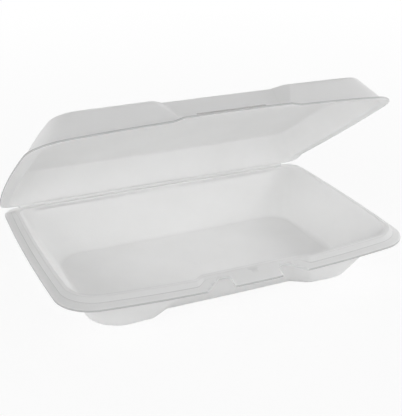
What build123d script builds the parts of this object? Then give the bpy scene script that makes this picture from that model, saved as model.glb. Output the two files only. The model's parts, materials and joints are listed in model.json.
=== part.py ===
from build123d import *
import os

# Foam clamshell container: a shallow tray and a hinged lid, moulded from one foam sheet.
# Millimetres.  X runs along the hinge, Y to the rear, Z up.  The origin is the middle of the
# tray's underside.  The lid is drawn shut on the tray and then swung open about the hinge.

# Foam sheet
wall = 2.0                # floor and top panel
edge_wall = 1.2           # the sheet is pinched thinner along its cut edges
wall_run = 2.4            # sloping walls, measured level
gap = 0.4                 # air between the two halves when shut
corner_shrink = 0.5       # corner radius lost for each millimetre an outline moves in
least_corner = 3.0

# Tray flange, seen from above
tray_length = 233.4
tray_depth = 164.0
tray_front_bow = 8.8      # the front edge bulges this far beyond its corners
tray_front_pinch = 3.2    # the sides draw in this much at the front corners
tray_rear_pinch = 1.4
tray_front_corner = 24.0
tray_rear_corner = 10.5

# Tray rim: a flange that slopes down to the cut edge, with a bead on its inner side
rim_height = 34.3         # top of the bead above the table
edge_drop = 4.5           # cut edge below the top of the bead
bead_foot = 4.0           # outer foot of the bead, in from the cut edge
bead_inset = 6.2          # outer shoulder of the bead, in from the cut edge
bead_width = 2.8
bead_skin = 1.5
bead_round = 1.0          # both sides of the bead are rounded off with two flats
bead_corner = 0.3         # where the two flats meet, in from the sharp corner

# Tray floor
floor_length = 181.0
floor_depth = 101.6
floor_bow = 1.0
floor_corner = 20.0
rear_tightening = 6.0     # the rear corners tighten this much between the floor and the rim
floor_round = 6.0         # inside the tray
floor_outer_round = 3.5

# The bead dies away in front of the hinge, where the rim is a flat strip
hinge_strip = 6.0
strip_drop = 4.3          # strip below the top of the bead
ramp_end = 4.0            # foot of the ramp in front of the hinge
ramp_length = 18.0

# Recess in the tray's front wall, and the locking tab above it
recess_floor_depth = 8.0
recess_rim_depth = 4.5
recess_floor_half = 44.0
recess_rim_half = 31.0
recess_flare = 1.54       # sideways run of the recess sides for each millimetre of depth
recess_softness = (0.85, 1.2)     # radii at its foot and its step for each millimetre of depth
tab_width = 31.0
notch_top = 7.5           # width of the notch beside the tab at its inner end
notch_mouth = 18.5        # width of the notch at the cut edge
notch_depth = 7.5
notch_round = 2.6

# Lid: a narrow flat flange, and a wall that comes down outside the tray's bead
lid_length = 240.8
lid_overhang = 0.2        # lid flange beyond the tray flange at the front
lid_front_bow = 13.4
lid_pinch = 3.4           # the lid's sides draw in this much at all corners
lid_front_corner = 26.0
lid_rear_corner = 10.0
flange_drop = 1.7         # underside of the lid's flange below the top of the bead
bead_clearance = 1.8      # lid wall's inner foot outside the bead's shoulder
lid_rise = 17.5           # top panel above the bead
lid_top_inset = 17.3      # top panel's edge in from the lid's cut edge
lid_top_bow = 4.0
lid_top_corner = 14.0
lid_round = 4.0
lid_inner_round = 3.5
lid_recess_foot_depth = 2.5
lid_recess_top_depth = 7.7
lid_recess_foot_half = 31.0
lid_recess_top_half = 36.0
lid_recess_flare = 1.17
lid_recess_softness = (0.3, 0.8)
bridge_rise = 1.3         # the flange rises this much to pass over the tab
bridge_ramp = 6.0
slot_length = 44.0
slot_height = 1.6
slot_above_flange = 1.8

# Hinge
lid_opening = 33.5        # degrees open from shut

# Cutting shapes
reach = 14.0              # they stand this far clear of what they cut
spare = 3.5               # and run this far past a cut edge
touch = 0.01              # edges within this of a height lie at it

# Places that follow from the sizes above
half = tray_length / 2
front = -tray_depth / 2
hinge_y = tray_depth / 2
rear_face = hinge_y - gap / 2
edge_top = rim_height - edge_drop
strip_top = rim_height - strip_drop
hinge_z = strip_top + gap / 2
flange_under = rim_height - flange_drop
flange_top = flange_under + edge_wall
lid_front = front - lid_overhang
lid_top = rim_height + lid_rise
ceiling = lid_top - wall
flange_rise = edge_drop / (bead_inset + recess_rim_depth)
bead_flats = [(0, bead_round), (bead_corner, bead_corner), (bead_round, 0)]
low = edge_top - reach
high = rim_height + 2 * reach


def between(low_value, high_value, share):
    return low_value + (high_value - low_value) * share


def corner(radius, inset):
    """The radius of a corner whose outline has moved in."""
    return max(radius - corner_shrink * inset, least_corner)


def outline(half_x, y_front, y_rear, bow, front_pinch, rear_pinch, r_front, r_rear):
    """A rounded oblong with a bowed front and slightly bowed sides."""
    x_front = half_x - front_pinch
    x_rear = half_x - rear_pinch
    y_end = y_front + bow
    y_mid = (y_end + y_rear) / 2
    sides = [
        ThreePointArc((-x_front, y_end), (0, y_front), (x_front, y_end)),
        ThreePointArc((x_front, y_end), (half_x, y_mid), (x_rear, y_rear)),
        Line((x_rear, y_rear), (-x_rear, y_rear)),
        ThreePointArc((-x_rear, y_rear), (-half_x, y_mid), (-x_front, y_end)),
    ]
    face = make_face(sides)
    face = fillet(face.vertices().sort_by(Axis.Y)[:2], r_front)
    return fillet(face.vertices().sort_by(Axis.Y)[-2:], r_rear)


def stack(rings):
    """A solid with straight walls through rings of (height, outline)."""
    return loft([Pos(0, 0, z) * face for z, face in rings], ruled=True)


def polygon(points):
    return make_face(Polyline(*points, close=True))


def nearest_edge(shape, point):
    return shape.edges().sort_by_distance(point)[0]


def round_level(shape, z, radius):
    """Rounds the edges of a shape that lie at height z."""
    return fillet(shape.edges().filter_by_position(Axis.Z, z - touch, z + touch), radius)


def nearest_corners(face, x, y):
    """The two corners of an outline that lie nearest to (x, y) and its mirror image."""
    return [face.vertices().sort_by_distance((side * x, y))[0] for side in (-1, 1)]


def recessed(face, y_wall, depth, half_width, flare, offset, softness):
    """An outline with the middle of its front set back."""
    foot_softness, step_softness = softness
    x = half_width + offset * ((1 + flare ** 2) ** 0.5 - flare)
    y = y_wall + depth + offset
    wide = x + flare * reach
    face -= polygon([(-wide, y - reach), (-x, y), (x, y), (wide, y - reach)])
    face = fillet(nearest_corners(face, x, y), foot_softness * depth)
    steps = nearest_corners(face, x + flare * depth, y_wall + offset)
    return fillet(steps, step_softness * depth)


# Tray

def tray_rim_outline(inset):
    return outline(half - inset, front + inset, rear_face - inset,
                   tray_front_bow, tray_front_pinch, tray_rear_pinch,
                   corner(tray_front_corner, inset), corner(tray_rear_corner, inset))


def flange_height(inset):
    return edge_top + flange_rise * inset


def tray_front_at(z):
    rim_front = front + bead_inset + bead_width - wall_run
    return between(-floor_depth / 2, rim_front, z / rim_height)


def tray_body_outline(z, inset):
    """Level section of the tray's outer wall at height z, moved inwards."""
    share = z / rim_height
    rim_half = half - bead_inset - bead_width + wall_run
    strip_rear = hinge_y - hinge_strip + wall_run
    face = outline(
        between(floor_length / 2, rim_half, share) - inset,
        tray_front_at(z) + inset,
        between(floor_depth / 2, strip_rear, z / strip_top) - inset,
        between(floor_bow, tray_front_bow, share),
        between(floor_bow, tray_front_pinch, share),
        between(floor_bow, tray_rear_pinch, share),
        corner(floor_corner, inset),
        corner(floor_corner - rear_tightening * share, inset),
    )
    depth = between(recess_floor_depth, recess_rim_depth, share)
    half_width = between(recess_floor_half, recess_rim_half, share)
    return recessed(face, tray_front_at(z), depth, half_width, recess_flare, inset,
                    recess_softness)


def ramp_cut():
    """Everything above the ramp that takes the bead down to the hinge strip."""
    foot = hinge_y - ramp_end
    head = foot - ramp_length
    slope = strip_drop / ramp_length
    profile = polygon([
        (head - reach, rim_height + slope * reach),
        (foot, strip_top),
        (hinge_y + reach, strip_top),
        (hinge_y + reach, high),
        (head - reach, high),
    ])
    profile = fillet(profile.vertices().sort_by_distance((foot, strip_top))[0], ramp_length)
    return extrude(Plane.YZ * profile, half + reach, both=True)


def tab_wedge():
    """Everything above the tab's plane, where the bead is set back behind the tab."""
    y = front + bead_inset + recess_rim_depth
    x = recess_rim_half
    wide = x + recess_flare * reach
    plan = polygon([(-wide, y - reach), (-x, y), (x, y), (wide, y - reach)])
    block = extrude(Pos(0, 0, low) * plan, high - low)
    y_in = y + reach
    y_out = y - reach
    side = polygon([
        (y_in, flange_height(y_in - front)),
        (y_out, flange_height(y_out - front)),
        (y_out, low),
        (y_in, low),
    ])
    return block - extrude(Plane.YZ * side, wide + reach, both=True)


def notch():
    """The cut that frees the tab from the flange on its right-hand side."""
    x = tab_width / 2
    y = front + notch_depth
    slant = (notch_mouth - notch_top) / notch_depth
    mouth = x + notch_mouth + slant * reach
    plan = polygon([(x, front - reach), (x, y), (x + notch_top, y), (mouth, front - reach)])
    cut = extrude(Pos(0, 0, low) * plan, high - low)
    ends = [nearest_edge(cut, (end, y, rim_height)) for end in (x, x + notch_top)]
    return fillet(ends, notch_round)


def base_tray():
    levels = [(low, 0), (edge_top, 0), (flange_height(bead_foot), bead_foot)]
    levels += [(rim_height - drop, bead_inset + move) for move, drop in bead_flats]
    over = stack([(z, tray_rim_outline(inset)) for z, inset in levels])
    foot = bead_foot + bead_skin
    under = stack([
        (low - gap, tray_rim_outline(-spare)),
        (flange_height(-spare) - edge_wall, tray_rim_outline(-spare)),
        (flange_height(foot) - edge_wall, tray_rim_outline(foot)),
        (rim_height - wall, tray_rim_outline(bead_inset + bead_skin / 2)),
    ])
    body = stack([(z, tray_body_outline(z, 0)) for z in (0, rim_height)])
    body = round_level(body, 0, floor_outer_round)
    levels = [(wall, wall_run)]
    levels += [(rim_height - drop, wall_run - move) for move, drop in bead_flats]
    levels += [(rim_height + reach, wall_run - bead_round)]
    inside = stack([(z, tray_body_outline(z, inset)) for z, inset in levels])
    inside = round_level(inside, wall, floor_round)
    ramp = ramp_cut()
    wedge = tab_wedge()
    sheet = (over - wedge) + body - ramp
    hollow = under - Pos(0, 0, -edge_wall) * wedge - Pos(0, 0, -wall) * ramp - body
    return sheet - hollow - inside - notch() - mirror(notch(), about=Plane.YZ)


# Lid

def lid_rim_outline(inset):
    return outline(lid_length / 2 - inset, lid_front + inset, rear_face - inset,
                   lid_front_bow, lid_pinch, lid_pinch,
                   corner(lid_front_corner, inset), corner(lid_rear_corner, inset))


def lid_body_outline(z, inset):
    """Level section of the lid's outer wall at height z, moved inwards."""
    share = (z - flange_under) / (lid_top - flange_under)
    foot_inset = bead_inset - bead_clearance - wall_run
    top_half = lid_length / 2 - lid_top_inset
    y_front = between(front + foot_inset, lid_front + lid_top_inset, share)
    y_rear = between(rear_face - foot_inset, rear_face - lid_top_inset, share)
    face = outline(
        between(half - foot_inset, top_half, share) - inset,
        y_front + inset,
        y_rear - inset,
        between(tray_front_bow, lid_top_bow, share),
        between(tray_front_pinch, lid_pinch, share),
        between(tray_rear_pinch, lid_pinch, share),
        corner(between(corner(tray_front_corner, foot_inset), lid_top_corner, share), inset),
        corner(between(corner(tray_rear_corner, foot_inset), lid_top_corner, share), inset),
    )
    depth = between(lid_recess_foot_depth, lid_recess_top_depth, share)
    half_width = between(lid_recess_foot_half, lid_recess_top_half, share)
    return recessed(face, y_front, depth, half_width, lid_recess_flare, inset,
                    lid_recess_softness)


def lid_block(top, inset, radius):
    """The space inside the lid's wall, with its top rounded and its foot run down past the hinge strip."""
    foot = lid_body_outline(flange_under, inset)
    block = stack([(flange_under, foot), (top, lid_body_outline(top, inset))])
    block = round_level(block, top, radius)
    return block + extrude(Pos(0, 0, low) * foot, flange_under - low)


def bridge():
    """The hump in the flange's underside that passes over the tab."""
    x = lid_recess_foot_half + lid_recess_flare * lid_recess_foot_depth
    foot = x + bridge_ramp
    arch = flange_under + bridge_rise
    profile = polygon([(-foot, low), (-foot, flange_under), (-x, arch),
                       (x, arch), (foot, flange_under), (foot, low)])
    return extrude(Plane.XZ.offset(-lid_front) * profile, reach, both=True)


def lock_slot():
    """Slit through the foot of the lid's recessed front wall, for the tab."""
    z = flange_top + bridge_rise + slot_above_flange
    middle = z + slot_height / 2
    y = lid_front + lid_recess_foot_depth + wall_run
    return Pos(0, y, middle) * Box(slot_length, reach, slot_height)


def closed_lid():
    rim = Pos(0, 0, low) * lid_rim_outline(0)
    over = extrude(rim, flange_top - low)
    over += Pos(0, 0, edge_wall) * bridge() & extrude(rim, high - low)
    under = extrude(Pos(0, 0, low - gap) * lid_rim_outline(-spare), flange_under - low + gap)
    under += bridge()
    body = lid_block(lid_top, 0, lid_round)
    inside = lid_block(ceiling, wall_run, lid_inner_round)
    ramp = ramp_cut()
    sheet = (over - Pos(0, 0, gap + edge_wall) * ramp) + body
    return sheet - (under - Pos(0, 0, gap) * ramp) - inside - lock_slot()


def open_lid():
    hinge = Axis((0, hinge_y, hinge_z), (-1, 0, 0))
    return closed_lid().rotate(hinge, lid_opening)


if __name__ == "__main__":
    os.makedirs("parts", exist_ok=True)
    for name, piece in (("base_tray", base_tray()), ("lid", open_lid())):
        export_step(piece, f"parts/{name}.step")
        print(name, "solids", len(piece.solids()), "volume", round(piece.volume))
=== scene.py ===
# %% [markdown]
# # A foam clamshell container
# The container is moulded from one sheet of white foam: a tray, a lid and a pressed crease between them.
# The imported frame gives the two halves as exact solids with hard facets. Foam never has hard facets, so
# this lesson rebuilds each half as a clean skin of four-sided faces with soft corners, over the same
# sizes, and keeps the solids for the physics.

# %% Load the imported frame
import json
from collections import namedtuple
import bpy
import numpy as np
from mathutils import Matrix, Vector


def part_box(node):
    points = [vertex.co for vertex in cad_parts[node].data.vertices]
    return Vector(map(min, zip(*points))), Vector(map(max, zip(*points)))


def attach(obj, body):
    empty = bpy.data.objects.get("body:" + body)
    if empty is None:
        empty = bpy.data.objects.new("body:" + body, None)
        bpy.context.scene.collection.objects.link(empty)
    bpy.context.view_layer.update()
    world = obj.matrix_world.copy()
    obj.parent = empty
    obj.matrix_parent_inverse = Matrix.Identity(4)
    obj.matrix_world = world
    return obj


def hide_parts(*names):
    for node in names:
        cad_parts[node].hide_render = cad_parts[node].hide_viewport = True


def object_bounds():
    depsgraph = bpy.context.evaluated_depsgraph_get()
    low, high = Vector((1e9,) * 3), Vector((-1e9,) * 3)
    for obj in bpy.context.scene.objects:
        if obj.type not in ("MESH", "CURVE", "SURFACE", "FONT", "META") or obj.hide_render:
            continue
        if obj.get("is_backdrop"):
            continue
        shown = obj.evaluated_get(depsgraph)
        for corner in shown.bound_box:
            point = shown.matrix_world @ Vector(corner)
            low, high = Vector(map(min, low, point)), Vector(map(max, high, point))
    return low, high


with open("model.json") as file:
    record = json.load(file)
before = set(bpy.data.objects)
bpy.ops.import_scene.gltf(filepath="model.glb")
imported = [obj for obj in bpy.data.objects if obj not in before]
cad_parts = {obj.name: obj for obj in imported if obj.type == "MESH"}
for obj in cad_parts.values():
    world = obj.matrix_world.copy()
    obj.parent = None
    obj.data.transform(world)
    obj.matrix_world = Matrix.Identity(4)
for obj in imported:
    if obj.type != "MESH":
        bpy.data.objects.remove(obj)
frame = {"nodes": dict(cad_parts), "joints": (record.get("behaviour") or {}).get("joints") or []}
cad_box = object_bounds()
MM = 0.001
joint = frame["joints"][0]
HINGE_Y, HINGE_Z = joint["pos_m"][1] / MM, joint["pos_m"][2] / MM
LID_OPENING = np.radians(-joint["range_deg"][0])
print("nodes:", sorted(frame["nodes"]), "hinge at", HINGE_Y, HINGE_Z, "mm")

# %% [markdown]
# ## The sizes
# A moulded sheet is described by its section and its outline. The hinge, the rim's height and the lid's
# length come from the frame, so the skin can't drift away from the solids. The rest are the mould's own
# sizes, in millimetres. They could be measured off the solids, but named sizes are easier to follow and to
# change.

# %% Sizes of the foam sheet
tray_low, tray_high = [np.array(corner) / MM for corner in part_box("base_tray")]
lid_low, lid_high = [np.array(corner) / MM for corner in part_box("lid")]
WALL = 2.0  # the sheet on the level
WALL_RUN = 2.4  # the same sheet, measured level through a sloping wall
EDGE_WALL = 1.2  # the sheet where it is pinched along a cut edge
GAP = 0.4  # between the two halves at the hinge
FRONT, REAR = -HINGE_Y, HINGE_Y - GAP / 2
print("tray", tray_high - tray_low, "lid", lid_high - lid_low, "mm")

# %% Sizes of the tray
TRAY_HALF = 116.7
RIM_HEIGHT = tray_high[2]
TRAY_RIM = dict(bow=8.8, front_pinch=3.2, rear_pinch=1.4, front_round=24.0, rear_round=10.5)
LEAST_CORNER = 3.0
FLANGE_DROP = 4.5
EDGE_TOP = RIM_HEIGHT - FLANGE_DROP
BEAD_FOOT, BEAD_INSET = 4.0, 6.2  # both measured in from the cut edge
BEAD_WIDTH, BEAD_SKIN = 2.8, 1.5
FLOOR_HALF, FLOOR_DEPTH, FLOOR_BOW, FLOOR_CORNER = 90.5, 101.6, 1.0, 20.0
REAR_TIGHTENING = 6.0
HINGE_STRIP = 6.0
STRIP_TOP = HINGE_Z - GAP / 2
RAMP_END, RAMP_LENGTH, RAMP_ROUND = 4.0, 18.0, 2.1
TRAY_RECESS = dict(depth=(8.0, 4.5), half=(44.0, 31.0), flare=1.54, softness=(0.85, 1.2))
TAB_WIDTH = 31.0
NOTCH_TOP, NOTCH_MOUTH, NOTCH_DEPTH, NOTCH_ROUND = 7.5, 18.5, 7.5, 2.6
print("tray rim at", RIM_HEIGHT, "mm, cut edge at", EDGE_TOP, "mm, hinge strip at", STRIP_TOP, "mm")

# %% Sizes of the lid
LID_HALF = lid_high[0]
LID_OVERHANG = 0.2
LID_FRONT = FRONT - LID_OVERHANG
LID_RIM = dict(bow=13.4, front_pinch=3.4, rear_pinch=3.4, front_round=26.0, rear_round=10.0)
FLANGE_LAP, LID_RISE = 1.7, 17.5  # below and above the tray's rim
FLANGE_UNDER, LID_TOP = RIM_HEIGHT - FLANGE_LAP, RIM_HEIGHT + LID_RISE
BEAD_CLEARANCE = 1.8
LID_TOP_INSET, LID_TOP_BOW, LID_TOP_CORNER = 17.3, 4.0, 14.0
LID_RECESS = dict(depth=(2.5, 7.7), half=(31.0, 36.0), flare=1.17, softness=(0.3, 0.8))
BRIDGE_RISE, BRIDGE_RAMP = 1.3, 6.0
SLOT_LENGTH, SLOT_HEIGHT, SLOT_ABOVE_FLANGE = 44.0, 1.6, 1.8
print("shut lid: flange at", FLANGE_UNDER, "mm, top at", LID_TOP, "mm")

# %% [markdown]
# ## One outline, many rings
# Every level section of the container is the same kind of outline: an oblong with a bowed front, slightly
# bowed sides and rounded corners. It could be drawn as a curve with handles, but then each level would
# have its points in other places. Here every outline has the same number of points, and they keep to the
# same stretch of it, so two outlines can be joined with straight columns of faces.

# %% Circles and arcs
def circle_through(a, b, c):
    """Centre and radius of the circle through three points."""
    a, b, c = np.array(a), np.array(b), np.array(c)
    sides = 2 * np.array([b - a, c - a])
    centre = np.linalg.solve(sides, [b @ b - a @ a, c @ c - a @ a])
    return centre, np.linalg.norm(a - centre)


def sweep(centre, radius, start, end, count):
    """Points on a circle from start towards end, without the end."""
    first, last = [np.arctan2(*(np.array(p) - centre)[::-1]) for p in (start, end)]
    last = first + (last - first + np.pi) % (2 * np.pi) - np.pi
    turn = np.linspace(first, last, count, endpoint=False)
    return centre + radius * np.stack([np.cos(turn), np.sin(turn)], 1)


def corner_centre(c1, r1, c2, r2, near):
    """The point at distance r1 from c1 and r2 from c2 that lies nearest to a given point."""
    gap = c2 - c1
    length = np.linalg.norm(gap)
    along = (r1 ** 2 - r2 ** 2 + length ** 2) / (2 * length)
    across = np.sqrt(r1 ** 2 - along ** 2)
    foot = c1 + gap / length * along
    side = np.array([-gap[1], gap[0]]) / length * across
    return min(foot + side, foot - side, key=lambda p: np.linalg.norm(p - near))


def on_circle(centre, radius, towards):
    """The point of a circle that lies in the direction of another point."""
    return centre + (towards - centre) / np.linalg.norm(towards - centre) * radius


_, sample_radius = circle_through((-1, 0), (0, 1), (1, 0))
print("radius of the circle through three points of a unit circle:", sample_radius)

# %% Draw one outline as a ring of points
STRETCHES = dict(front_corner=22, side=30, rear_corner=14, rear=30)
FRONT_COUNTS = [0, 22, 32, 40, 50, 96]  # points used up at each stop along half the front
BEND_REACH, BEND_SHARE = 3.0, 0.4


def front_stops(foot, step, end):
    """Places along the front, close together about the foot and the step of the set-back."""
    near = min(BEND_REACH, BEND_SHARE * (step - foot))
    stops = [0, foot - near, foot + near, step - near, step + near, end]
    return np.interp(np.arange(FRONT_COUNTS[-1]), FRONT_COUNTS, stops)


def outline(half, front, rear, bow, front_pinch, rear_pinch, front_round, rear_round, foot, step):
    """A closed ring of points, right half from the front middle to the rear middle, then back."""
    x_front, x_rear, y_end = half - front_pinch, half - rear_pinch, front + bow
    sharp_corner = (x_front, y_end)
    front_c, front_r = circle_through((-x_front, y_end), (0, front), sharp_corner)
    side_c, side_r = circle_through(sharp_corner, (half, (y_end + rear) / 2), (x_rear, rear))
    front_corner = corner_centre(front_c, front_r - front_round, side_c, side_r - front_round, sharp_corner)
    rise = rear - rear_round - side_c[1]
    reach = np.sqrt((side_r - rear_round) ** 2 - rise ** 2)
    rear_corner = np.array([side_c[0] + reach, rear - rear_round])
    front_end = on_circle(front_c, front_r, front_corner)
    side_start = on_circle(side_c, side_r, front_corner)
    side_end = on_circle(side_c, side_r, rear_corner)
    rear_end = (rear_corner[0], rear)
    x = front_stops(foot, step, front_end[0])
    right = np.vstack([
        np.stack([x, front_c[1] - np.sqrt(front_r ** 2 - x ** 2)], 1),
        sweep(front_corner, front_round, front_end, side_start, STRETCHES["front_corner"]),
        sweep(side_c, side_r, side_start, side_end, STRETCHES["side"]),
        sweep(rear_corner, rear_round, side_end, rear_end, STRETCHES["rear_corner"]),
        np.linspace(rear_end, (0, rear), STRETCHES["rear"], endpoint=False),
        [(0, rear)],
    ])
    left = right[-2:0:-1] * (-1, 1)
    return np.vstack([right, left])


COLUMNS = 2 * (FRONT_COUNTS[-1] + sum(STRETCHES.values()))
print("points in each ring:", COLUMNS)

# %% [markdown]
# ## The set-back in the middle of each front
# Both halves step back in the middle of the front, to make room for the locking tab. It could be cut out
# of the skin, but a cut leaves sharp edges that foam doesn't have. On a ring it is a soft maximum of two
# lines: the front as it was, and a shallow trough with sloping ends.

# %% Set back the front of a ring
def between(pair, share):
    return pair[0] + (pair[1] - pair[0]) * share


def soft_ramp(t, width):
    """max(t, 0) with its corner rounded over a width to each side."""
    bend = (np.clip(t, -width, width) + width) ** 2 / (4 * width)
    return np.where(t > width, t, bend)


def recess_places(recess, share, inset):
    """Depth, and half width at the foot and at the step, of a recess at a share of its height."""
    flare = recess["flare"]
    depth = between(recess["depth"], share)
    foot = between(recess["half"], share) + inset * (np.hypot(1, flare) - flare)
    return depth, foot, foot + flare * depth


def set_back(ring, y_floor, recess, depth, foot):
    """A ring whose front is pushed back to y_floor where |x| is under foot."""
    flare = recess["flare"]
    bend = np.tan(np.arctan(1 / flare) / 2) * depth
    foot_bend, step_bend = [softness * bend for softness in recess["softness"]]
    trough = y_floor - soft_ramp(np.abs(ring[:, 0]) - foot, foot_bend) / flare
    lift = soft_ramp(trough - ring[:, 1], step_bend / flare)
    is_front = ring[:, 1] < 0
    return ring + np.stack([0 * lift, np.where(is_front, lift, 0)], 1)


print("tray recess at the rim, depth, foot and step:", recess_places(TRAY_RECESS, 1, 0), "mm")

# %% [markdown]
# ## From corners to a rounded section
# A section is given as a few corner rings, each with a radius. Between corners the sheet is straight. At a
# corner, a circular arc that touches both straights takes its place, worked out for every column by
# itself. A Bevel modifier could round the corners too, but it would give every column the same width. A
# corner also carries a mark, from 0 to 1, and the mark of the straight that follows. The finish reads them
# later and greys the foam by them. On a cut edge the grey is partly torn foam and partly painted shade; on
# the walls, the bead, the groove and the flanges it is painted shade. The flat panels keep their plain
# white.

# %% Round off one corner, divide one straight
ARC_STEPS = 5
SHARPEST, FLATTEST = 0.05, np.pi / 2 - 1e-4  # half angles of a corner, in radians
SHARE_OF_STRAIGHT = 0.45  # the most of a straight that one arc uses up
LONGEST_STEP, MOST_STEPS = 4.0, 9


def rounded(before, corner, after, radius):
    """Rings along the arc that rounds off one corner ring."""
    back, on = before - corner, after - corner
    back_length, on_length = [np.linalg.norm(v, axis=1, keepdims=True) for v in (back, on)]
    back, on = back / back_length, on / on_length
    half_angle = np.arccos(np.clip((back * on).sum(1, keepdims=True), -1, 1)) / 2
    half_angle = np.clip(half_angle, SHARPEST, FLATTEST)
    room = SHARE_OF_STRAIGHT * np.minimum(back_length, on_length)
    reach = np.minimum(radius / np.tan(half_angle), room)
    start, end, weight = corner + back * reach, corner + on * reach, np.sin(half_angle)
    rings = []
    for s in np.linspace(0, 1, ARC_STEPS):
        a, b, c = (1 - s) ** 2, 2 * weight * s * (1 - s), s ** 2
        rings.append((a * start + b * corner + c * end) / (a + b + c))
    return rings


def divided(last, new):
    """Rings that cut the straight between two rings into even steps."""
    length = np.linalg.norm(new - last, axis=1).max()
    count = min(int(np.ceil(length / LONGEST_STEP)), MOST_STEPS)
    return [last + (new - last) * k / count for k in range(1, count)]


print("rings in a corner:", ARC_STEPS, "most steps in a straight:", MOST_STEPS)

# %% Join corners into a section
Corner = namedtuple("Corner", "ring radius mark next_mark", defaults=(0, 0, 0))


def before_hinge(y):
    """1 over most of the container, falling to 0 at the hinge, where the sheet runs on uncut and no shade is
    painted.
    """
    return np.clip((HINGE_Y - HINGE_STRIP - y) / HINGE_STRIP, 0, 1)


def section(corners):
    """The rings of a skin, and the mark of every point on them."""
    rings, marks = [corners[0].ring], [0.0]
    for before, corner, after in zip(corners, corners[1:], corners[2:]):
        arc = rounded(before.ring, corner.ring, after.ring, corner.radius)
        straight = divided(rings[-1], arc[0])
        rings += straight + arc
        marks += [before.next_mark] * (len(straight) + 1)
        marks += [corner.mark] * (len(arc) - 2) + [corner.next_mark]
    straight = divided(rings[-1], corners[-1].ring)
    rings += straight + [corners[-1].ring]
    marks += [0.0] * (len(straight) + 1)
    return rings, [mark * before_hinge(ring[:, 1]) for ring, mark in zip(rings, marks)]


def at_height(ring, z):
    return np.column_stack([ring, np.broadcast_to(z, len(ring))])


def middle_of(ring):
    """A ring drawn together to one point, for the middle of a floor or a top panel."""
    low, high = ring.min(0), ring.max(0)
    return np.tile((low + high) / 2, (len(ring), 1))


print("a corner holds:", Corner._fields)

# %% [markdown]
# ## The tray
# The section runs from the middle of the floor up the inner wall, over the bead, down the flange to the
# cut edge, and back underneath to the middle of the underside. A Solidify modifier could give one surface
# its thickness, but the real sheet is pinched at its edges and hollow under the bead, so both sides are
# drawn. In front of the hinge the bead dies away on a ramp, so heights are held below a line that depends
# only on how near the hinge a point is.

# %% Outlines of the tray
def tightened(shape, inset):
    """Outline sizes whose corners tighten as the outline moves in."""
    front_round = shape["front_round"] - inset / 2
    rear_round = max(shape["rear_round"] - inset / 2, LEAST_CORNER)
    return dict(shape, front_round=front_round, rear_round=rear_round)


def tray_rim(inset, tab=True):
    """The tray's flange outline moved in, with the bead set back behind the tab."""
    depth, foot, step = recess_places(TRAY_RECESS, 1, 0)
    shape = tightened(TRAY_RIM, inset)
    ring = outline(TRAY_HALF - inset, FRONT + inset, REAR - inset, **shape, foot=foot, step=step)
    if not tab:
        return ring
    return set_back(ring, FRONT + inset + depth, TRAY_RECESS, depth, foot)


def tray_wall(z, inset):
    """One level of the tray's outer wall at height z, moved in."""
    share = z / RIM_HEIGHT
    rim_half = TRAY_HALF - BEAD_INSET - BEAD_WIDTH + WALL_RUN
    rim_front = FRONT + BEAD_INSET + BEAD_WIDTH - WALL_RUN
    front = between((-FLOOR_DEPTH / 2, rim_front), share)
    depth, foot, step = recess_places(TRAY_RECESS, share, inset)
    ring = outline(
        half=between((FLOOR_HALF, rim_half), share) - inset,
        front=front + inset,
        rear=between((FLOOR_DEPTH / 2, HINGE_Y - HINGE_STRIP + WALL_RUN), z / STRIP_TOP) - inset,
        bow=between((FLOOR_BOW, TRAY_RIM["bow"]), share),
        front_pinch=between((FLOOR_BOW, TRAY_RIM["front_pinch"]), share),
        rear_pinch=between((FLOOR_BOW, TRAY_RIM["rear_pinch"]), share),
        front_round=FLOOR_CORNER - inset / 2,
        rear_round=FLOOR_CORNER - REAR_TIGHTENING * share - inset / 2,
        foot=foot, step=step)
    return set_back(ring, front + depth + inset, TRAY_RECESS, depth, foot)


tray_edge = tray_rim(0, tab=False)
print("tray edge from", tray_edge.min(0), "to", tray_edge.max(0), "mm")

# %% Heights along the tray's rim
def ramp(y):
    """Height of the ramp that leads the bead down to the flat hinge strip."""
    foot = HINGE_Y - RAMP_END
    slope = (RIM_HEIGHT - STRIP_TOP) / RAMP_LENGTH
    return STRIP_TOP + soft_ramp(foot - y, RAMP_ROUND) * slope


def under_ramp(ring, z, drop):
    return at_height(ring, np.minimum(z, ramp(ring[:, 1]) + drop))


def rim_top(ring):
    return np.minimum(RIM_HEIGHT, ramp(ring[:, 1]))


def hollow_top(ring):
    return rim_top(ring) - WALL


def flange_height(ring):
    """Height of the sloping flange, from how far a ring stands in from the cut edge."""
    rise = (RIM_HEIGHT - EDGE_TOP) / (BEAD_INSET + TRAY_RECESS["depth"][1])
    return EDGE_TOP + rise * np.linalg.norm(ring - tray_edge, axis=1)


def along_the_wall(wall, start, end, inset, height):
    """The wall's ring where it meets a surface whose height is a function of the ring's points."""
    first, last = at_height(wall(start, inset), start), at_height(wall(end, inset), end)
    ring = last
    for _ in range(3):
        share = (height(ring) - start) / (end - start)
        ring = first + (last - first) * share[:, None]
    return ring


print("ramp from", ramp(REAR), "mm at the hinge to", RIM_HEIGHT, "mm at the bead")

# %% Section of the tray
FLOOR_ROUND, FLOOR_OUTER_ROUND = 6.0, 3.5
BEAD_ROUND, FOOT_ROUND, HOLLOW_ROUND = 1.3, 1.0, 0.5
EDGE_ROUND, EDGE_UNDER_ROUND = 0.4, 0.3
# Marks of painted shade, from 0 for plain skin to 1 for a cut edge, where the grey is also torn foam
TRAY_WALL_SHADE, BEAD_TOP_SHADE, BEAD_SIDE_SHADE, GROOVE_SHADE, FLANGE_SHADE, CUT_GREY_AND_SHADE = 0.1, 0.2, 0.46, 0.85, 0.46, 1.0

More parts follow.
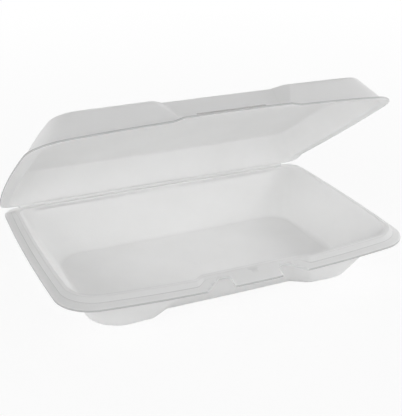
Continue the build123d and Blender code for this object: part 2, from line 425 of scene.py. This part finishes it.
floor_in, floor_out = at_height(tray_wall(WALL, WALL_RUN), WALL), at_height(tray_wall(0, 0), 0)
wall_in = along_the_wall(tray_wall, WALL, RIM_HEIGHT, WALL_RUN, rim_top)
wall_out = along_the_wall(tray_wall, 0, RIM_HEIGHT - WALL, 0, hollow_top)
bead_foot, bead_foot_under = tray_rim(BEAD_FOOT), tray_rim(BEAD_FOOT + BEAD_SKIN)
foot_under = under_ramp(bead_foot_under, flange_height(bead_foot_under) - EDGE_WALL, -WALL)
hollow = under_ramp(tray_rim(BEAD_INSET + BEAD_SKIN / 2), RIM_HEIGHT - WALL, -WALL)
tray_rings, tray_marks = section([
    Corner(middle_of(floor_in)),
    Corner(floor_in, FLOOR_ROUND, TRAY_WALL_SHADE, TRAY_WALL_SHADE),
    Corner(wall_in, BEAD_ROUND, 0, BEAD_TOP_SHADE),
    Corner(under_ramp(tray_rim(BEAD_INSET), RIM_HEIGHT, 0), BEAD_ROUND, BEAD_SIDE_SHADE, BEAD_SIDE_SHADE),
    Corner(under_ramp(bead_foot, flange_height(bead_foot), 0), FOOT_ROUND, GROOVE_SHADE, FLANGE_SHADE),
    Corner(at_height(tray_edge, EDGE_TOP), EDGE_ROUND, CUT_GREY_AND_SHADE, CUT_GREY_AND_SHADE),
    Corner(under_ramp(tray_edge, EDGE_TOP - EDGE_WALL, -WALL), EDGE_UNDER_ROUND, CUT_GREY_AND_SHADE),
    Corner(foot_under, FOOT_ROUND),
    Corner(hollow, HOLLOW_ROUND),
    Corner(wall_out, HOLLOW_ROUND, 0, TRAY_WALL_SHADE),
    Corner(floor_out, FLOOR_OUTER_ROUND, TRAY_WALL_SHADE),
    Corner(middle_of(floor_out)),
])
print("tray rings:", len(tray_rings))

# %% [markdown]
# ## The lid
# The lid is drawn shut, on top of the tray, and then swung open about the hinge to the angle that the
# frame is stored at. It could be drawn open straight away, but shut, all its levels are level. Its wall
# comes down outside the tray's bead, and its narrow flange follows the same ramps down to the hinge. At
# the front the flange arches over the tab.

# %% Outlines of the lid
def lid_rim(inset):
    """The lid's flange outline moved in."""
    _, foot, step = recess_places(LID_RECESS, 0, 0)
    shape = tightened(LID_RIM, inset)
    return outline(LID_HALF - inset, LID_FRONT + inset, REAR - inset, **shape, foot=foot, step=step)


def lid_wall(z, inset):
    """One level of the lid's outer wall at height z, moved in."""
    share = (z - FLANGE_UNDER) / (LID_TOP - FLANGE_UNDER)
    run = BEAD_INSET - BEAD_CLEARANCE - WALL_RUN
    front = between((FRONT + run, LID_FRONT + LID_TOP_INSET), share)
    depth, foot, step = recess_places(LID_RECESS, share, inset)
    ring = outline(
        half=between((TRAY_HALF - run, LID_HALF - LID_TOP_INSET), share) - inset,
        front=front + inset,
        rear=between((REAR - run, REAR - LID_TOP_INSET), share) - inset,
        bow=between((TRAY_RIM["bow"], LID_TOP_BOW), share),
        front_pinch=between((TRAY_RIM["front_pinch"], LID_RIM["front_pinch"]), share),
        rear_pinch=between((TRAY_RIM["rear_pinch"], LID_RIM["rear_pinch"]), share),
        front_round=between((TRAY_RIM["front_round"] - run / 2, LID_TOP_CORNER), share) - inset / 2,
        rear_round=between((TRAY_RIM["rear_round"] - run / 2, LID_TOP_CORNER), share) - inset / 2,
        foot=foot, step=step)
    return set_back(ring, front + depth + inset, LID_RECESS, depth, foot)


lid_edge = lid_rim(0)
print("shut lid's edge from", lid_edge.min(0), "to", lid_edge.max(0), "mm")

# %% Heights of the lid's flange, and its swing
def flange_under(ring):
    """Height of the flange's underside: it arches over the tab and ramps down to the hinge."""
    _, _, step = recess_places(LID_RECESS, 0, 0)
    arch = np.clip((step + BRIDGE_RAMP - np.abs(ring[:, 0])) / BRIDGE_RAMP, 0, 1)
    arch = np.where(ring[:, 1] < 0, BRIDGE_RISE * arch, 0)
    return np.minimum(FLANGE_UNDER + arch, ramp(ring[:, 1]) + GAP)


def flange_top(ring):
    return flange_under(ring) + EDGE_WALL


def swung_open(ring):
    """A ring of the shut lid, turned about the hinge."""
    y, z = HINGE_Y - ring[:, 1], ring[:, 2] - HINGE_Z
    c, s = np.cos(LID_OPENING), np.sin(LID_OPENING)
    return np.stack([ring[:, 0], HINGE_Y - y * c + z * s, HINGE_Z + y * s + z * c], 1)


print("lid swings open by", round(float(np.degrees(LID_OPENING)), 1), "degrees")

# %% Section of the lid
LID_ROUND, LID_INNER_ROUND, LID_FOOT_ROUND = 4.0, 3.5, 0.8
# Painted shade on the lid's outer wall and, fainter, on its flange
LID_WALL_SHADE, LID_FLANGE_SHADE = 0.3, 0.1  # marks, as on the tray

ceiling = LID_TOP - WALL
top_edge = at_height(lid_wall(LID_TOP, 0), LID_TOP)
ceiling_edge = at_height(lid_wall(ceiling, WALL_RUN), ceiling)
lid_foot_out = along_the_wall(lid_wall, LID_TOP, FLANGE_UNDER, 0, flange_top)
lid_foot_in = along_the_wall(lid_wall, ceiling, FLANGE_UNDER, WALL_RUN, flange_under)
lid_rings, lid_marks = section([
    Corner(middle_of(top_edge)),
    Corner(top_edge, LID_ROUND, LID_WALL_SHADE, LID_WALL_SHADE),
    Corner(lid_foot_out, LID_FOOT_ROUND, LID_WALL_SHADE, LID_FLANGE_SHADE),
    Corner(at_height(lid_edge, flange_top(lid_edge)), EDGE_ROUND, CUT_GREY_AND_SHADE, CUT_GREY_AND_SHADE),
    Corner(at_height(lid_edge, flange_under(lid_edge)), EDGE_UNDER_ROUND, CUT_GREY_AND_SHADE),
    Corner(lid_foot_in, FOOT_ROUND),
    Corner(ceiling_edge, LID_INNER_ROUND),
    Corner(middle_of(ceiling_edge)),
])
lid_rings = [swung_open(ring) for ring in lid_rings]
print("lid rings:", len(lid_rings))

# %% [markdown]
# ## Two helpers for node trees
# The finish, the floor, the world and the lofting rule are all node trees. Adding a node takes the same
# three steps each time: make it, set its properties, then fill or link its inputs. One function does all
# three.

# %% Add a node, add a sum
def add(tree, kind, settings=None, **sources):
    """A node with its properties set and its inputs filled or linked by name, with _ for a space."""
    node = tree.nodes.new(kind)
    for key, value in (settings or {}).items():
        setattr(node, key, value)
    for key, value in sources.items():
        socket = node.inputs[key.replace("_", " ")]
        if isinstance(value, bpy.types.NodeSocket):
            tree.links.new(value, socket)
        else:
            socket.default_value = value
    return node


def maths(tree, operation, a, b):
    """The result of a sum whose two inputs are numbers or other nodes' outputs."""
    node = tree.nodes.new("ShaderNodeMath")
    node.operation = operation
    for socket, value in zip(node.inputs, (a, b)):
        if isinstance(value, (int, float)):
            socket.default_value = value
        else:
            tree.links.new(value, socket)
    return node.outputs[0]


print("helpers:", add.__name__, maths.__name__)

# %% [markdown]
# ## The foam finish
# Foam board is white right through. Its skin is satin, with very shallow pebbles left by the cells and
# faint clouds where the sheet stretched over the mould. A plain white diffuse colour would look like
# plaster. Light goes a little way into foam, which softens every shadow, so the shader scatters it under
# the surface. The marks mix in grey. Along the cut edges the cells are torn open and look greyer, and the
# grey there is partly painted shade; on the walls, the bead, the groove and the flanges it is painted
# shade only. In the crease the cells are pressed together, so light goes less deep there.

# %% Foam material
SKIN_DARK, SKIN_LIGHT = (0.895, 0.895, 0.892, 1), (0.93, 0.93, 0.928, 1)
# Grey of torn foam on the cut edges, also used as painted shade there and, fainter, elsewhere
GREY_FOAM_AND_SHADE = (0.5, 0.5, 0.5, 1)
CLOUDS_PER_METRE, CLOUD_DETAIL, CLOUD_STOPS = 28.0, 4.0, (0.3, 0.7)
SATIN_LOW, SATIN_HIGH = 0.5, 0.64
CELLS_PER_METRE, PEBBLE_STRENGTH, PEBBLE_DEPTH = 800.0, 0.35, 0.0002
WAVE_STRENGTH, WAVE_DEPTH = 0.12, 0.002
SHEET_SCATTER, CREASE_SCATTER = 0.0015, 0.0002
FOAM_SOCKETS = {
    "IOR": 1.45,
    "Specular IOR Level": 0.25,
    "Subsurface Weight": 1.0,
    "Subsurface Radius": (1.0, 1.0, 1.0),
}


def foam_material(name, scatter):
    """White foam that light enters to a given depth in metres."""
    material = bpy.data.materials.new(name)
    material.use_nodes = True
    tree = material.node_tree
    shader = tree.nodes["Principled BSDF"]
    for socket, value in FOAM_SOCKETS.items():
        shader.inputs[socket].default_value = value
    shader.inputs["Subsurface Scale"].default_value = scatter
    place = add(tree, "ShaderNodeTexCoord").outputs["Object"]
    clouds = add(tree, "ShaderNodeTexNoise", Vector=place, Scale=CLOUDS_PER_METRE, Detail=CLOUD_DETAIL)
    clouds = clouds.outputs["Fac"]

    tint = add(tree, "ShaderNodeValToRGB", Fac=clouds)
    for element, stop, colour in zip(tint.color_ramp.elements, CLOUD_STOPS, (SKIN_DARK, SKIN_LIGHT)):
        element.position = stop
        element.color = colour
    # The marks mix in grey: painted shade, and on the cut edges also torn foam
    pressed = add(tree, "ShaderNodeAttribute", {"attribute_name": "pressed"}).outputs["Fac"]
    colour = add(tree, "ShaderNodeMix", {"data_type": "RGBA"},
                 Factor=pressed, A=tint.outputs["Color"], B=GREY_FOAM_AND_SHADE)
    tree.links.new(colour.outputs["Result"], shader.inputs["Base Color"])

    satin = add(tree, "ShaderNodeMapRange", Value=clouds, To_Min=SATIN_LOW, To_Max=SATIN_HIGH)
    tree.links.new(satin.outputs["Result"], shader.inputs["Roughness"])

    cells = add(tree, "ShaderNodeTexVoronoi", {"feature": "SMOOTH_F1"}, Vector=place, Scale=CELLS_PER_METRE)
    pebble = add(tree, "ShaderNodeBump", Strength=PEBBLE_STRENGTH, Distance=PEBBLE_DEPTH,
                 Height=cells.outputs["Distance"])
    waves = add(tree, "ShaderNodeBump", Strength=WAVE_STRENGTH, Distance=WAVE_DEPTH,
                Height=clouds, Normal=pebble.outputs["Normal"])
    tree.links.new(waves.outputs["Normal"], shader.inputs["Normal"])
    return material


foam = foam_material("white_foam", SHEET_SCATTER)
pressed_foam = foam_material("pressed_foam", CREASE_SCATTER)
print("materials:", foam.name, pressed_foam.name, "with", len(foam.node_tree.nodes), "nodes each")

# %% [markdown]
# ## A Geometry Nodes tree that lofts rings into a skin
# The rings are only points. The tree makes a grid with one row for each ring, moves every grid point onto
# its ring point, closes the seam and the middles, gives the sheet a faint unevenness, cuts out the
# openings and sets the material. The faces could be listed in the script, but with the rule in a tree, the
# same tree serves the tray, the lid and the crease.

# %% Inputs of the foam skin tree
UNEVENNESS = 0.00008
# Grey on the edges of the openings: torn foam, and painted shade where shade falls on them
TORN_GREY_AND_SHADE = 0.7


def new_input(tree, name, kind, value=None):
    socket = tree.interface.new_socket(name, in_out="INPUT", socket_type=kind)
    if value is not None:
        socket.default_value = value


skin = bpy.data.node_groups.new("foam_skin", "GeometryNodeTree")
new_input(skin, "Ring points", "NodeSocketGeometry")
new_input(skin, "Rings", "NodeSocketInt", 2)
new_input(skin, "Points in a ring", "NodeSocketInt", COLUMNS)
new_input(skin, "Unevenness", "NodeSocketFloat", UNEVENNESS)
new_input(skin, "Cutter", "NodeSocketObject")
new_input(skin, "Torn edge grey and shade", "NodeSocketFloat", TORN_GREY_AND_SHADE)
new_input(skin, "Finish", "NodeSocketMaterial")
skin.interface.new_socket("Skin", in_out="OUTPUT", socket_type="NodeSocketGeometry")
given = skin.nodes.new("NodeGroupInput").outputs
print("inputs:", [socket.name for socket in given if socket.name])

# %% Loft: move a grid onto the rings and close it
MERGE_DISTANCE = 2e-7
AS_PLACE, AS_NUMBER = {"data_type": "FLOAT_VECTOR"}, {"data_type": "FLOAT"}
points, ring_length = given["Ring points"], given["Points in a ring"]
columns = maths(skin, "ADD", ring_length, 1)
grid = add(skin, "GeometryNodeMeshGrid", Vertices_X=given["Rings"], Vertices_Y=columns).outputs["Mesh"]
index = add(skin, "GeometryNodeInputIndex").outputs[0]
row = maths(skin, "FLOOR", maths(skin, "DIVIDE", index, columns), 0)
column = maths(skin, "MODULO", maths(skin, "MODULO", index, columns), ring_length)
wanted = maths(skin, "ADD", maths(skin, "MULTIPLY", row, ring_length), column)

place = add(skin, "GeometryNodeInputPosition").outputs[0]
place = add(skin, "GeometryNodeSampleIndex", AS_PLACE, Geometry=points, Value=place, Index=wanted).outputs[0]
# Each point's mark of painted shade and torn foam is carried onto the skin
mark = add(skin, "GeometryNodeInputNamedAttribute", AS_NUMBER, Name="pressed").outputs["Attribute"]
mark = add(skin, "GeometryNodeSampleIndex", AS_NUMBER, Geometry=points, Value=mark, Index=wanted).outputs[0]
loft = add(skin, "GeometryNodeSetPosition", Geometry=grid, Position=place).outputs[0]
loft = add(skin, "GeometryNodeStoreNamedAttribute", AS_NUMBER, Geometry=loft, Name="pressed", Value=mark)
loft = add(skin, "GeometryNodeMergeByDistance", Geometry=loft.outputs[0], Distance=MERGE_DISTANCE).outputs[0]
print("tree nodes after the loft:", len(skin.nodes))

# %% Unevenness, openings and finish
WAVES_PER_METRE, WAVE_DETAIL = 45.0, 2.0
SOFT_ANGLE = 0.7
noise = add(skin, "ShaderNodeTexNoise", Scale=WAVES_PER_METRE, Detail=WAVE_DETAIL).outputs["Fac"]
height = maths(skin, "MULTIPLY", maths(skin, "SUBTRACT", noise, 0.5), given["Unevenness"])
normal = add(skin, "GeometryNodeInputNormal").outputs[0]
push = add(skin, "ShaderNodeVectorMath", {"operation": "SCALE"}, Vector=normal, Scale=height).outputs[0]
loft = add(skin, "GeometryNodeSetPosition", Geometry=loft, Offset=push).outputs[0]

cutter = add(skin, "GeometryNodeObjectInfo", Object=given["Cutter"]).outputs["Geometry"]
cut = add(skin, "GeometryNodeMeshBoolean", {"operation": "DIFFERENCE", "solver": "EXACT"},
          Mesh_1=loft, Mesh_2=cutter).outputs
# The edges of the openings are greyed: torn foam and painted shade
torn_and_shaded = add(skin, "GeometryNodeStoreNamedAttribute", AS_NUMBER, Geometry=cut["Mesh"], Name="pressed",
           Selection=cut["Intersecting Edges"], Value=given["Torn edge grey and shade"]).outputs[0]

angle = add(skin, "GeometryNodeInputMeshEdgeAngle").outputs["Unsigned Angle"]
soft = maths(skin, "LESS_THAN", angle, SOFT_ANGLE)
smooth = add(skin, "GeometryNodeSetShadeSmooth", {"domain": "EDGE"}, Geometry=torn_and_shaded, Shade_Smooth=soft)
smooth = add(skin, "GeometryNodeSetShadeSmooth", {"domain": "FACE"}, Geometry=smooth.outputs[0])
real = add(skin, "GeometryNodeRealizeInstances", Geometry=smooth.outputs[0])
finished = add(skin, "GeometryNodeSetMaterial", Geometry=real.outputs[0], Material=given["Finish"])
skin.links.new(finished.outputs[0], skin.nodes.new("NodeGroupOutput").inputs[0])
print("tree nodes:", len(skin.nodes))

# %% [markdown]
# ## From the tree to a plain piece
# The tree works as a modifier on an object that holds the ring points. A live modifier would be worked out
# again for every view, and other programs don't know it, so its result is copied into a plain mesh and the
# modifier is taken off.

# %% Turn rings into a finished piece
def make_piece(name, rings, marks, cutter, finish=foam, unevenness=UNEVENNESS):
    """A plain mesh object lofted from rings by the foam skin tree."""
    points = bpy.data.meshes.new(name + "_points")
    points.from_pydata([tuple(p) for p in np.vstack(rings) * MM], [], [])
    # The marks of painted shade, and of torn foam along the cut edges
    pressed = points.attributes.new("pressed", "FLOAT", "POINT")
    pressed.data.foreach_set("value", np.concatenate(marks))
    piece = bpy.data.objects.new(name, points)
    bpy.context.scene.collection.objects.link(piece)
    modifier = piece.modifiers.new("skin", "NODES")
    modifier.node_group = skin
    values = {"Rings": len(rings), "Points in a ring": len(rings[0]), "Unevenness": unevenness,
              "Cutter": cutter, "Finish": finish}
    for socket in skin.interface.items_tree:
        if socket.name in values:
            modifier[socket.identifier] = values[socket.name]
    ready = piece.evaluated_get(bpy.context.evaluated_depsgraph_get())
    mesh = bpy.data.meshes.new_from_object(ready)
    piece.modifiers.clear()
    piece.data = mesh
    mesh.name = name
    print(name, len(mesh.vertices), "points,", len(mesh.polygons), "faces")
    return piece


print("pieces will be lofted by the tree", skin.name)

# %% [markdown]
# ## The openings
# Two notches free the tab from the tray's flange, and a slit in the lid's front takes the tab. They were
# punched out with a blade. They could be worked into the rings, but a punched edge is crisp, so they are
# cut out of the finished skin with blades of the same outline.

# %% Make a cutting blade
BLADE_REACH = 7.0


def rounded_plan(corners):
    """A flat outline from a list of (x, y, radius)."""
    places = np.array([[c[:2]] for c in corners])
    plan = []
    for k, (_, _, radius) in enumerate(corners):
        if radius:
            plan += rounded(places[k - 1], places[k], places[(k + 1) % len(corners)], radius)
        else:
            plan.append(places[k])
    return [tuple(p[0]) for p in plan]


def prism(name, outlines, low, high):
    """A cutting tool: upright prisms over flat outlines, in millimetres."""
    points, faces = [], []
    for plan in outlines:
        first, n = len(points), len(plan)
        points += [(x * MM, y * MM, z * MM) for z in (low, high) for x, y in plan]
        faces += [[first + k for k in range(n)][::-1], [first + n + k for k in range(n)]]
        for k in range(n):
            after = (k + 1) % n
            faces.append([first + k, first + after, first + n + after, first + n + k])
    mesh = bpy.data.meshes.new(name)
    mesh.from_pydata(points, [], faces)
    return bpy.data.objects.new(name, mesh)


print("blades reach", BLADE_REACH, "mm past what they cut")

# %% Tray with its notches
tab_side, notch_end = TAB_WIDTH / 2, FRONT + NOTCH_DEPTH
slant = (NOTCH_MOUTH - NOTCH_TOP) / NOTCH_DEPTH
notch = rounded_plan([
    (tab_side, FRONT - BLADE_REACH, 0),
    (tab_side + NOTCH_MOUTH + slant * BLADE_REACH, FRONT - BLADE_REACH, 0),
    (tab_side + NOTCH_TOP, notch_end, NOTCH_ROUND),
    (tab_side, notch_end, NOTCH_ROUND),
])
mirrored = [(-x, y) for x, y in notch][::-1]
notches = prism("notch_blades", [notch, mirrored], EDGE_TOP - BLADE_REACH, RIM_HEIGHT + BLADE_REACH)
tray = make_piece("foam_tray", tray_rings, tray_marks, notches)

# %% Lid with its slit
slot_z = FLANGE_UNDER + BRIDGE_RISE + EDGE_WALL + SLOT_ABOVE_FLANGE
slot_y = LID_FRONT + LID_RECESS["depth"][0] + WALL_RUN
near, far = slot_y - BLADE_REACH, slot_y + 2 * BLADE_REACH
slot_half = SLOT_LENGTH / 2
slit = [(-slot_half, near), (slot_half, near), (slot_half, far), (-slot_half, far)]
blade = prism("slit_blade", [slit], slot_z, slot_z + SLOT_HEIGHT)
for vertex in blade.data.vertices:
    vertex.co = Vector(swung_open(np.array([vertex.co]) / MM)[0] * MM)
lid = make_piece("foam_lid", lid_rings, lid_marks, blade)

# %% [markdown]
# ## The crease
# The real sheet runs on through the hinge as a thin pressed fold. A strip that bends with the lid could
# show it, but it would bulge as the lid folds back. A fine roll on the hinge line is round about that
# line, so it looks the same however far the lid is open.

# %% Roll along the hinge line
ROLL_RADIUS, ROLL_HALF = 2.5, 104.0
ROLL_END, ROLL_END_SHARE = 0.4, 0.7
turn = np.linspace(2 * np.pi, 0, COLUMNS, endpoint=False)
right_end = [(ROLL_HALF, 0), (ROLL_HALF, ROLL_END_SHARE), (ROLL_HALF - ROLL_END, 1)]
left_end = [(-x, share) for x, share in right_end]
roll_rings = []
for x, share in left_end + [(0, 1)] + right_end[::-1]:
    y = HINGE_Y + share * ROLL_RADIUS * np.cos(turn)
    z = HINGE_Z + share * ROLL_RADIUS * np.sin(turn)
    roll_rings.append(np.stack([np.full(COLUMNS, x), y, z], 1))
roll_marks = [np.zeros(COLUMNS)] * len(roll_rings)
crease = make_piece("hinge_crease", roll_rings, roll_marks, None, pressed_foam, 0.0)

# %% [markdown]
# ## What moves with what
# The tray and the crease stay put and the lid turns about the hinge. Each piece rides on a body of the
# frame by name, and the two skins stand for the frame's solids, which are hidden.

# %% Fasten the pieces to the bodies
for piece, body in ((tray, "tray"), (lid, "cover"), (crease, "tray")):
    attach(piece, body)
    print(piece.name, "rides on", body)
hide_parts("base_tray")
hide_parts("lid")

# %% [markdown]
# ## Floor and background
# The container stands on a white sweep. Enough light to burn the sweep out to white would burn out the
# foam too. So the floor is a plain pale surface that takes the shadow, and to the camera it also shows
# itself as white, more so further out. The background then doesn't depend on how strongly the container is
# lit.

# %% Shaders for the floor and the world
FLOOR_COLOUR = (0.9, 0.9, 0.9, 1)
FADE_FROM, FADE_TO = 0.25, 1.0  # metres from the middle of the container
WHITE_NEAR, WHITE_FAR = 0.9, 1.0


def seen_directly(tree):
    """1 for rays that come from the camera or by way of a mirror or glass, 0 for rays that carry light."""
    path = add(tree, "ShaderNodeLightPath").outputs
    reflected = maths(tree, "MAXIMUM", path["Is Glossy Ray"], path["Is Transmission Ray"])
    return maths(tree, "MAXIMUM", path["Is Camera Ray"], reflected)


def mixed(tree, share, first, second):
    """A shader that goes from the first to the second as the share goes from 0 to 1."""
    mix = add(tree, "ShaderNodeMixShader", Fac=share)
    tree.links.new(first, mix.inputs[1])
    tree.links.new(second, mix.inputs[2])
    return mix.outputs[0]


def floor_material():
    """A pale floor that takes the container's shadow, and fades to plain white further out."""
    material = bpy.data.materials.new("white_floor")
    material.use_nodes = True
    tree = material.node_tree
    tree.nodes.remove(tree.nodes["Principled BSDF"])
    plain = add(tree, "ShaderNodeBsdfDiffuse", Color=FLOOR_COLOUR).outputs[0]
    white = add(tree, "ShaderNodeEmission", Strength=1.0).outputs[0]
    place = add(tree, "ShaderNodeTexCoord").outputs["Object"]
    distance = add(tree, "ShaderNodeVectorMath", {"operation": "LENGTH"}, Vector=place).outputs["Value"]
    fade = add(tree, "ShaderNodeMapRange", Value=distance, From_Min=FADE_FROM, From_Max=FADE_TO,
               To_Min=WHITE_NEAR, To_Max=WHITE_FAR).outputs["Result"]
    share = maths(tree, "MULTIPLY", fade, seen_directly(tree))
    tree.links.new(mixed(tree, share, plain, white), tree.nodes["Material Output"].inputs["Surface"])
    return material


white_floor = floor_material()
print("floor material:", white_floor.name, "with", len(white_floor.node_tree.nodes), "nodes")

# %% Floor and world
FLOOR_HALF_SIZE = 4.0
FLOOR_LEVEL = -0.0002  # a hair below the container, so the two surfaces don't fight
DOME_STRENGTH = 0.13
PAPER_WHITE = (1, 1, 1, 1)
corners = [(-1, -1), (1, -1), (1, 1), (-1, 1)]
floor_mesh = bpy.data.meshes.new("sweep")
floor_mesh.from_pydata([(x * FLOOR_HALF_SIZE, y * FLOOR_HALF_SIZE, FLOOR_LEVEL) for x, y in corners],
                       [], [(0, 1, 2, 3)])
floor_mesh.materials.append(white_floor)
floor = bpy.data.objects.new("sweep", floor_mesh)
bpy.context.scene.collection.objects.link(floor)
floor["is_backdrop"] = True

world = bpy.data.worlds.new("studio")
bpy.context.scene.world = world
world.use_nodes = True
tree = world.node_tree
dome = tree.nodes["Background"]
dome.inputs["Color"].default_value = PAPER_WHITE
dome.inputs["Strength"].default_value = DOME_STRENGTH
seen_white = add(tree, "ShaderNodeBackground", Color=PAPER_WHITE, Strength=1.0)
sky = mixed(tree, seen_directly(tree), dome.outputs[0], seen_white.outputs[0])
tree.links.new(sky, tree.nodes["World Output"].inputs["Surface"])
print("floor at", FLOOR_LEVEL, "m, dome", DOME_STRENGTH)

# %% [markdown]
# ## Soft lamps
# Round soft panels stand about the container at one distance, most of them low, as the walls of a light
# tent would be. One big lamp overhead would be simpler, but low light reaches under the lid and leaves the
# flat tops a little darker than the hollows.

# %% Place the lamps
LAMP_SIZE, LAMP_DISTANCE = 1.2, 1.5
LAMPS = {  # degrees round from the right, degrees up, watts
    "front_left": (225, 18, 8.8),
    "front_right": (315, 18, 7.8),
    "front_high": (270, 50, 2.4),
    "right": (0, 18, 9.5),
    "left": (180, 18, 5.0),
    "rear": (90, 18, 8.0),
}
middle = Vector((0, 0, 0.05))
for name, (azimuth, elevation, power) in LAMPS.items():
    az, el = np.radians(azimuth), np.radians(elevation)
    outwards = Vector((np.cos(az) * np.cos(el), np.sin(az) * np.cos(el), np.sin(el)))
    lamp = bpy.data.lights.new(name, "AREA")
    lamp.shape = "DISK"
    lamp.size = LAMP_SIZE
    lamp.energy = power
    holder = bpy.data.objects.new(name, lamp)
    holder.location = middle + outwards * LAMP_DISTANCE
    holder.rotation_euler = (-outwards).to_track_quat("-Z", "Y").to_euler()
    bpy.context.scene.collection.objects.link(holder)
print("lamps:", list(LAMPS))

# %% [markdown]
# ## Camera
# The camera looks down on the open front from a little to the left, as in the photo. Its place and lens
# were fitted to the photo's outlines, so they are given as an angle, a distance and a focal length in
# pixels. A small shift puts the middle of the lens where the photo has it.

# %% Place the camera
AZIMUTH, ELEVATION, ROLL = -24.05, 23.6, -0.08
DISTANCE = 583.58
TARGET = Vector((16.91, 37.23, 25.0)) * MM
WIDTH, HEIGHT = 402, 416
FOCAL_PIXELS, CENTRE = 821.63, (202.92, 208.4)
SENSOR_HEIGHT, NEAREST = 36.0, 0.01
az, el = np.radians(AZIMUTH), np.radians(ELEVATION)
back = Vector((np.sin(az) * np.cos(el), -np.cos(az) * np.cos(el), np.sin(el)))
lens = bpy.data.cameras.new("photo_camera")
lens.sensor_fit = "VERTICAL"
lens.sensor_height = SENSOR_HEIGHT
lens.lens = FOCAL_PIXELS / HEIGHT * SENSOR_HEIGHT
lens.shift_x = (WIDTH / 2 - CENTRE[0]) / HEIGHT
lens.shift_y = (CENTRE[1] - HEIGHT / 2) / HEIGHT
lens.clip_start = NEAREST
camera = bpy.data.objects.new("photo_camera", lens)
turned = (-back).to_track_quat("-Z", "Y").to_matrix() @ Matrix.Rotation(np.radians(ROLL), 3, "Z")
camera.matrix_world = Matrix.Translation(TARGET + back * DISTANCE * MM) @ turned.to_4x4()
bpy.context.scene.collection.objects.link(camera)
bpy.context.scene.camera = camera
bpy.context.scene.view_settings.view_transform = "Standard"
print("camera at", [round(v, 3) for v in camera.matrix_world.translation], "lens", round(lens.lens, 1))

# %% [markdown]
# ## A last look at the size
# The skins are meant to fill the same space as the solids. Writing both boxes down shows whether they do.

# %% Write down both boxes
visual_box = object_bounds()
for name, box in (("cad", cad_box), ("visual", visual_box)):
    print(name, "box", [[round(v, 4) for v in corner] for corner in box])
